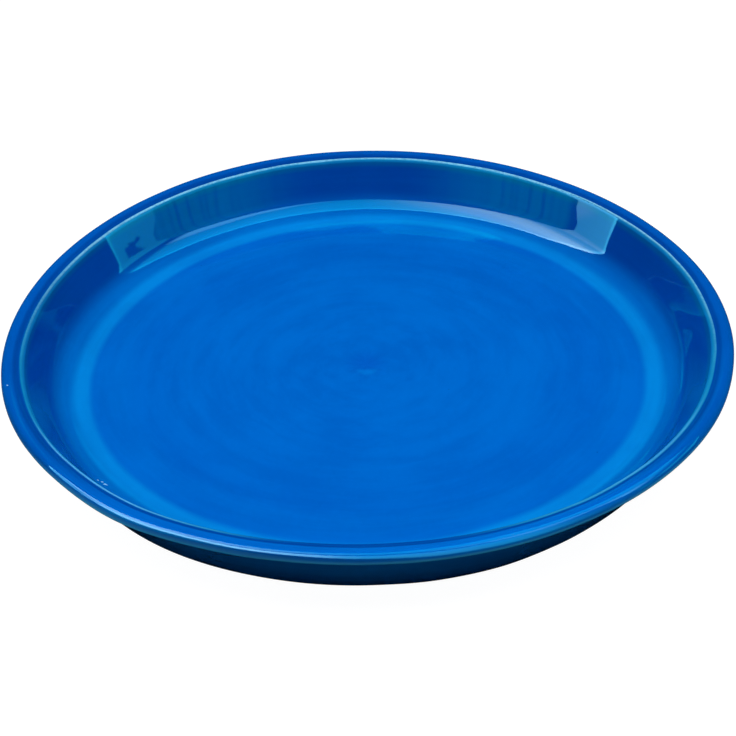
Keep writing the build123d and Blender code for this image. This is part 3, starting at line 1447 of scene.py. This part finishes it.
@dataclass
class Studio:
    """A plain soft studio: an overhead strip of light, two low faces, a floor and a backdrop.

    Directions are in degrees from +X, turning towards +Y. A reach whose name ends in `way` is
    a share of a level direction: -1 is straight in front of the saucer and 1 straight behind
    it, or -1 to the left and 1 to the right for `backdrop_side_way`.

    Attributes:
        strip_height: how high the overhead strip hangs.
        strip_front: where the front edge of its lamps is.
        strip_back: where their back edge is.
        strip_reach: how far the lamps go to each side.
        strip_left: how far the strip's mirrored face goes to the left.
        strip_right: how far it goes to the right.
        edge_drop: how far under the face its pale edge and the dark shade hang.
        lamp_count: how many lamps the strip has.
        lamp_power: the lamps' power for a square metre.
        side_reach: how far from the axis the low faces stand.
        side_posts: how many points they have along them.
        side_high: how high they are.
        side_lift: how their light changes from the lower edge up.
        left_end: the direction of the left face's end, and its lower edge's height there.
        middle_end: the same where the two faces meet.
        right_end: the same at the right face's end.
        fill: the even light of the room on plain surfaces.
        backdrop_low: the height of the backdrop's foot, in degrees.
        backdrop_top: the height of its top.
        backdrop_blur: how soft its foot and its top are, in sines of the height.
        backdrop_side_way: where it starts to end at the right, and is gone.
        backdrop_far_way: where it starts behind the saucer, and is full.
        backdrop_glow: its light.
        room_near_way: where the sides of the room start in front, and are full.
        room_far_way: where they fade, and end.
        room_top: the sines of the heights where they fade, and end.
        room_glow: their light.
        low_glow: the light of the rest of the room.
        streak_scale: how fine the streaks on the sides of the room are.
        streak_levels: the noise where a streak is darkest and brightest, and its light there.
        floor_reach: how far the floor goes.
        floor_shown: how pale the floor is to the camera, under its glow.
        floor_bounce: how pale it is to the light that it throws back.
        floor_glow: how brightly it glows for the camera.
        floor_mirrored: its light in the glaze.
        floor_clear: the distances where it comes out of the saucer's shadow in the glaze.
        floor_far: the distances where it dims there.
        floor_far_share: how much of its light is left.
        floor_front_way: where it dims from the front to the sides.
        floor_side_share: how much of its light is left at the sides.
    """

    strip_height: float = 0.70
    strip_front: float = -0.33
    strip_back: float = 0.26
    strip_reach: float = 2.6
    strip_left: float = 4.3
    strip_right: float = 3.3
    edge_drop: float = 2.0 * MM
    lamp_count: int = 4
    lamp_power: float = 8.6
    side_reach: float = 0.20
    side_posts: int = 24
    side_high: float = 0.135
    side_lift: Table = ((0.0, 0.3), (0.15, 1.0), (0.9, 1.0), (1.0, 0.8))
    left_end: tuple[float, float] = (-153.0, 0.06)
    middle_end: tuple[float, float] = (-91.0, 0.037)
    right_end: tuple[float, float] = (-40.0, 0.032)
    fill: float = 0.065
    backdrop_low: float = 24.0
    backdrop_top: float = 30.3
    backdrop_blur: tuple[float, float] = (0.03, 0.002)
    backdrop_side_way: Reach = (0.125, 0.150)
    backdrop_far_way: Reach = (0.975, 0.99)
    backdrop_glow: Light = (0.0, 0.6, 1.0)
    room_near_way: Reach = (-0.97, -0.62)
    room_far_way: Reach = (-0.20, -0.10)
    room_top: Reach = (0.55, 0.75)
    room_glow: Light = (0.0, 1.35, 1.2)
    low_glow: Light = (0.0, 0.15, 0.25)
    streak_scale: float = 38.0
    streak_levels: Span = (0.36, 0.56, 0.45, 1.1)
    floor_reach: float = 6.0
    floor_shown: float = 0.12
    floor_bounce: float = 0.32
    floor_glow: float = 0.97
    floor_mirrored: Colour = (0.15, 0.85, 1.0, 1.0)
    floor_clear: Reach = (0.155, 0.175)
    floor_far: Reach = (0.19, 0.30)
    floor_far_share: float = 0.2
    floor_front_way: Reach = (-0.65, -0.2)
    floor_side_share: float = 0.15

    def hang(self, name: str, edges: list[Rung], drop: float, glow: Glow, lift: Table) -> Panel:
        """Makes a level panel over the saucer.

        Args:
            name: the panel's name.
            edges: its rungs, from left to right.
            drop: how far under the strip's own height it hangs.
            glow: the light along it, from 0 at the left to 1 at the right.
            lift: how the light changes from the front edge to the back one.

        Returns:
            The panel.
        """
        front_x, front_y, back_x, back_y = np.array(edges).T
        level = np.full(len(edges), self.strip_height - drop)
        low = np.column_stack([front_x, front_y, level])
        high = np.column_stack([back_x, back_y, level])
        return Panel(name, low, high, (front_x - front_x[0]) / np.ptp(front_x), glow, lift)

    def overhead(self) -> Panel:
        """Makes the face of the overhead strip, as the photograph mirrors it.

        The strip is brightest left of the middle, its back edge draws in over the middle,
        it is cut off askew at the right of the band that it shows in the cove, and it is
        brighter along the back edge.

        Returns:
            The panel.
        """
        left = self.strip_left
        right = self.strip_right
        edges = [
            (-left, -0.13, -left, 0.53),
            (-1.6, -0.17, -1.6, 0.36),
            (-0.9, -0.19, -0.9, 0.31),
            (-0.5, -0.22, -0.5, 0.31),
            (-0.25, -0.25, -0.25, 0.33),
            (-0.1, -0.27, -0.1, 0.26),
            (0.0, -0.30, 0.0, 0.18),
            (0.1, -0.32, 0.1, 0.19),
            (0.3, -0.31, 0.3, 0.27),
            (0.9, -0.24, 0.52, 0.31),
            (1.6, -0.27, 1.5, 0.37),
            (right, -0.26, right, 0.42),
        ]
        glow = [
            (-left, (0.40, 3.6, 5.4)),
            (-2.45, (0.42, 3.9, 5.7)),
            (-2.1, (1.00, 4.4, 6.4)),
            (-1.6, (1.40, 4.9, 7.0)),
            (-1.15, (0.60, 3.8, 5.6)),
            (-0.9, (1.10, 4.4, 6.1)),
            (-0.62, (3.20, 6.6, 7.8)),
            (-0.42, (3.40, 6.9, 8.1)),
            (-0.25, (2.30, 5.4, 6.8)),
            (-0.15, (1.05, 4.5, 5.4)),
            (-0.07, (0.28, 3.5, 4.6)),
            (0.0, (0.04, 3.0, 4.0)),
            (0.16, (0.05, 3.0, 4.7)),
            (0.52, (0.02, 2.6, 4.2)),
            (0.95, (0.04, 2.4, 3.6)),
            (1.1, (0.0, 0.3, 0.5)),
            (1.45, (0.0, 0.3, 0.5)),
            (1.6, (0.06, 2.5, 3.2)),
            (right, (0.04, 2.0, 2.5)),
        ]
        glow = [((place + left) / (left + right), light) for place, light in glow]
        lift = ((0.0, 0.88), (0.7, 1.0), (0.9, 1.1), (0.95, 1.8), (1.0, 1.8))
        return self.hang("strip_face", edges, 0.0, glow, lift)

    def strip_edge(self) -> Panel:
        """Makes the strip's pale front edge, which shows over the right of the band in the cove.

        Returns:
            The panel.
        """
        rows = [
            (0.1, -0.32, -0.30),
            (0.2, -0.315, -0.24),
            (0.33, -0.305, -0.16),
            (0.45, -0.29, -0.09),
            (0.6, -0.275, -0.06),
            (0.75, -0.26, -0.03),
            (0.95, -0.24, -0.02),
            (1.1, -0.25, -0.06),
        ]
        edges = [(x, front, x, back) for x, front, back in rows]
        pale = (0.8, 4.5, 7.0)
        glow = [(0.0, (0.3, 3.4, 5.4)), (0.3, pale), (0.75, pale), (1.0, (0.1, 1.2, 2.0))]
        lift = ((0.0, 1.0), (0.6, 1.0), (1.0, 0.6))
        return self.hang("strip_edge", edges, self.edge_drop, glow, lift)

    def strip_shade(self) -> Panel:
        """Makes the ragged dark shape that hangs before the far right end of the strip.

        Returns:
            The panel.
        """
        rows = [
            (2.30, -0.10, -0.04),
            (2.42, -0.06, -0.01),
            (2.52, -0.01, 0.10),
            (2.60, 0.0, 0.09),
            (2.72, 0.06, 0.17),
            (2.86, 0.09, 0.18),
            (2.98, 0.19, 0.21),
        ]
        edges = [(x, front, x, back) for x, front, back in rows]
        dark = (0.0, 0.3, 0.5)
        return self.hang("strip_shade", edges, self.edge_drop, [(0.0, dark), (1.0, dark)], EVEN)

    def side(
        self, name: str, start: tuple[float, float], end: tuple[float, float], glow: Glow
    ) -> Panel:
        """Makes a low upright panel in front of the saucer, which shows in the roll of the rim.

        Its lower edge goes from the one height to the other by the cube of the way.

        Args:
            name: the panel's name.
            start: the direction of one end, and the height of the lower edge there.
            end: the same at the other end.
            glow: the light along it.

        Returns:
            The panel.
        """
        along = np.linspace(0.0, 1.0, self.side_posts)
        turn = np.radians(start[0] + (end[0] - start[0]) * along)
        ring = self.side_reach * np.column_stack([np.cos(turn), np.sin(turn)])
        low = np.column_stack([ring, start[1] + (end[1] - start[1]) * along**3])
        high = np.column_stack([ring, np.full(len(turn), self.side_high)])
        return Panel(name, low, high, along, glow, self.side_lift)

    def build_panels(self) -> None:
        """Hangs the overhead panels, and the two low ones in front on the left and the right."""
        bright = (4.6, 12.0, 15.0)
        meeting = (0.3, 4.4, 6.8)
        left = [
            (0.0, (0.0, 0.1, 0.2)),
            (0.06, (2.4, 7.5, 10.0)),
            (0.14, bright),
            (0.65, bright),
            (0.85, (2.4, 8.0, 11.0)),
            (0.95, (0.6, 5.0, 7.4)),
            (1.0, meeting),
        ]
        right = [
            (0.0, meeting),
            (0.25, (0.3, 3.9, 6.2)),
            (0.5, (0.15, 3.6, 5.6)),
            (1.0, (0.0, 0.3, 0.6)),
        ]
        panels = [
            self.overhead(),
            self.strip_edge(),
            self.strip_shade(),
            self.side("left_face", self.left_end, self.middle_end, left),
            self.side("right_face", self.middle_end, self.right_end, right),
        ]
        for panel in panels:
            panel.build()
            log.info("%s: a panel that the glaze mirrors", panel.name)

    def paths(self, sheet: Sheet) -> dict[Ray, bpy.types.NodeSocket]:
        """Adds a Light Path node and returns its sockets by kind of ray."""
        node = sheet.add("ShaderNodeLightPath")
        return {ray: node.outputs[ray.value] for ray in Ray}

    def build_floor(self) -> bpy.types.Object:
        """Lays the floor.

        For the camera it glows just under white, and the lamps bring it up to white except
        where the saucer shades it. In the glaze it shows as the same pale ground, cooled by
        the glass, once it is clear of the saucer's shadow, and dims far off and at the sides.

        Returns:
            The floor.
        """
        signs = [(-1, -1), (1, -1), (1, 1), (-1, 1)]
        corners = [(x * self.floor_reach, y * self.floor_reach, 0.0) for x, y in signs]
        mesh = bpy.data.meshes.new("studio_floor")
        mesh.from_pydata(corners, [], [(0, 1, 2, 3)])
        floor = bpy.data.objects.new("studio_floor", mesh)
        bpy.context.scene.collection.objects.link(floor)

        sheet = new_material("pale_floor")
        rays = self.paths(sheet)
        spot = sheet.add("ShaderNodeTexCoord").outputs["Object"]
        away = sheet.measure("LENGTH", spot)
        clear = sheet.remap(away, *self.floor_clear, 0.0, 1.0)
        dim = sheet.remap(away, *self.floor_far, 1.0, self.floor_far_share)
        clear = sheet.math("MULTIPLY", clear, dim)
        ahead = sheet.math("DIVIDE", sheet.split(spot)["Y"], away)
        sides = sheet.remap(ahead, *self.floor_front_way, 1.0, self.floor_side_share)
        clear = sheet.math("MULTIPLY", clear, sides)
        mirrored = sheet.math("MAXIMUM", rays[Ray.GLOSSY], rays[Ray.TRANSMISSION])
        tint = sheet.blend(rays[Ray.CAMERA], self.floor_mirrored, WHITE)
        pale = sheet.math("MULTIPLY", mirrored, clear)
        strength = sheet.math("MULTIPLY_ADD", rays[Ray.CAMERA], self.floor_glow, pale)
        glow = sheet.add("ShaderNodeEmission", {"Color": tint, "Strength": strength})
        bounce = sheet.blend(mirrored, grey(self.floor_bounce), BLACK)
        colour = sheet.blend(rays[Ray.CAMERA], bounce, grey(self.floor_shown))
        matte = sheet.add("ShaderNodeBsdfDiffuse", {"Color": colour})
        both = sheet.add("ShaderNodeAddShader", {0: glow.outputs[0], 1: matte.outputs[0]})
        close_material(sheet, both.outputs[0])
        mesh.materials.append(bpy.data.materials["pale_floor"])
        return floor

    def build_lamps(self) -> list[bpy.types.Object]:
        """Hangs the lamps of the overhead strip, side by side.

        They light plain surfaces alone, since the panels show in the glaze in their place.

        Returns:
            The lamps, from left to right.
        """
        depth = self.strip_back - self.strip_front
        middle = (self.strip_front + self.strip_back) / 2
        width = 2 * self.strip_reach / self.lamp_count
        lamps = []
        for step in range(self.lamp_count):
            data = bpy.data.lights.new(f"strip_lamp_{step}", "AREA")
            data.shape = "RECTANGLE"
            data.size = width
            data.size_y = depth
            data.energy = self.lamp_power * width * depth
            lamp = bpy.data.objects.new(data.name, data)
            lamp.location = (-self.strip_reach + width * (step + 0.5), middle, self.strip_height)
            lamp.visible_glossy = False
            lamp.visible_camera = False
            bpy.context.scene.collection.objects.link(lamp)
            lamps.append(lamp)
        return lamps

    def build_world(self) -> bpy.types.World:
        """Surrounds the studio.

        The camera sees white. The glaze mirrors a backdrop, a band behind the saucer from
        `backdrop_low` to `backdrop_top` degrees up, and the streaky sides of the room in
        front, to the left and the right of the dark middle. Plain surfaces take a dim even
        fill from all round.

        Returns:
            The world.
        """
        world = bpy.data.worlds.new("studio")
        world.use_nodes = True
        bpy.context.scene.world = world
        sheet = Sheet(world.node_tree)
        rays = self.paths(sheet)
        way = sheet.add("ShaderNodeTexCoord").outputs["Generated"]
        split = sheet.split(way)
        flat = sheet.math("SQRT", sheet.math("SUBTRACT", 1.0, sheet.math("POWER", split["Z"], 2.0)))
        level = sheet.math("MAXIMUM", flat, 0.01)
        ahead = sheet.math("DIVIDE", split["Y"], level)
        aside = sheet.math("DIVIDE", split["X"], level)

        foot = math.sin(math.radians(self.backdrop_low))
        top = math.sin(math.radians(self.backdrop_top))
        soft_foot, soft_top = self.backdrop_blur
        low = sheet.remap(split["Z"], foot - soft_foot, foot + soft_foot, 0.0, 1.0)
        high = sheet.remap(split["Z"], top - soft_top, top + soft_top, 1.0, 0.0)
        right = sheet.remap(aside, *self.backdrop_side_way, 1.0, 0.0)
        behind = sheet.math("MULTIPLY", right, sheet.remap(ahead, *self.backdrop_far_way, 0.0, 1.0))
        backdrop = sheet.math("MULTIPLY", sheet.math("MULTIPLY", low, high), behind)

        drawn = sheet.add("ShaderNodeCombineXYZ", {0: ahead}).outputs[0]
        streaks = sheet.remap(sheet.noise(drawn, self.streak_scale), *self.streak_levels)
        near = sheet.remap(ahead, *self.room_near_way, 0.0, 1.0)
        far = sheet.remap(ahead, *self.room_far_way, 1.0, 0.0)
        lit = sheet.math("MULTIPLY", sheet.math("MULTIPLY", near, far), streaks)
        lit = sheet.math("MULTIPLY", lit, sheet.remap(split["Z"], *self.room_top, 1.0, 0.0))

        seen = sheet.blend(lit, (*self.low_glow, 1.0), (*self.room_glow, 1.0))
        seen = sheet.blend(backdrop, seen, (*self.backdrop_glow, 1.0))
        mirrored = sheet.math("MAXIMUM", rays[Ray.GLOSSY], rays[Ray.TRANSMISSION])
        colour = sheet.blend(mirrored, grey(self.fill), seen)
        colour = sheet.blend(rays[Ray.CAMERA], colour, WHITE)
        sky = sheet.add("ShaderNodeBackground", {"Color": colour, "Strength": 1.0})
        sheet.add("ShaderNodeOutputWorld", {"Surface": sky.outputs[0]})
        return world

    def build(self) -> None:
        """Sets up the floor, the light and the surroundings."""
        self.build_floor()
        self.build_panels()
        self.build_lamps()
        self.build_world()


@dataclass(frozen=True)
class Camera:
    """The camera of the portrait: where it stands, and how it is turned, in degrees.

    Attributes:
        place: where it stands.
        pan: how far it turns to the right.
        tilt: how far it looks down.
        roll: how far it turns about its line of sight.
        focal_length: its lens, in millimetres.
        sensor: the width of its sensor, in millimetres.
    """

    place: tuple[float, float, float] = (0.0, -0.59078, 0.42016)
    pan: float = 0.04
    tilt: float = 35.16
    roll: float = -2.14
    focal_length: float = 83.15
    sensor: float = 36.0

    def build(self) -> bpy.types.Object:
        """Places the camera.

        Level and facing +Y, it turns right by `pan` and down by `tilt`. Its picture's right
        and up directions then turn about the line of sight by `roll`.

        Returns:
            The camera, set as the scene's own.
        """
        pan, tilt, roll = (math.radians(angle) for angle in (self.pan, self.tilt, self.roll))
        forward = Vector(
            (math.sin(pan) * math.cos(tilt), math.cos(pan) * math.cos(tilt), -math.sin(tilt))
        )
        right = Vector((math.cos(pan), -math.sin(pan), 0.0))
        up = right.cross(forward)
        level_right = right * math.cos(roll) + up * math.sin(roll)
        level_up = up * math.cos(roll) - right * math.sin(roll)
        turn = Matrix((level_right, level_up, -forward)).transposed()
        data = bpy.data.cameras.new("portrait")
        data.lens = self.focal_length
        data.sensor_width = self.sensor
        data.clip_start = 0.01
        camera = bpy.data.objects.new("portrait", data)
        camera.matrix_world = Matrix.Translation(self.place) @ turn.to_4x4()
        bpy.context.scene.collection.objects.link(camera)
        bpy.context.scene.camera = camera
        return camera


def main() -> None:
    """Builds the saucer and its studio, at the size of the visual model."""
    logging.basicConfig(level=logging.INFO, format="%(name)s: %(message)s")
    low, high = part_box("glaze_coat")
    section = Section(outer_radius=(high[0] - low[0]) / 2, height=high[2])
    form = Form(section)
    effects = Effects.build()
    for part in (ClayBody(form), GlazeCoat(form)):
        piece = part.build(effects)
        log.info("%s: %d faces", piece.name, len(piece.data.polygons))
    Studio().build()
    log.info("studio: floor, strip of lamps, mirrored panels and surroundings")
    camera = Camera().build()
    log.info("camera: %.2f mm lens", camera.data.lens)
    bpy.context.scene.view_settings.view_transform = "Standard"


if __name__ == "__main__":
    main()
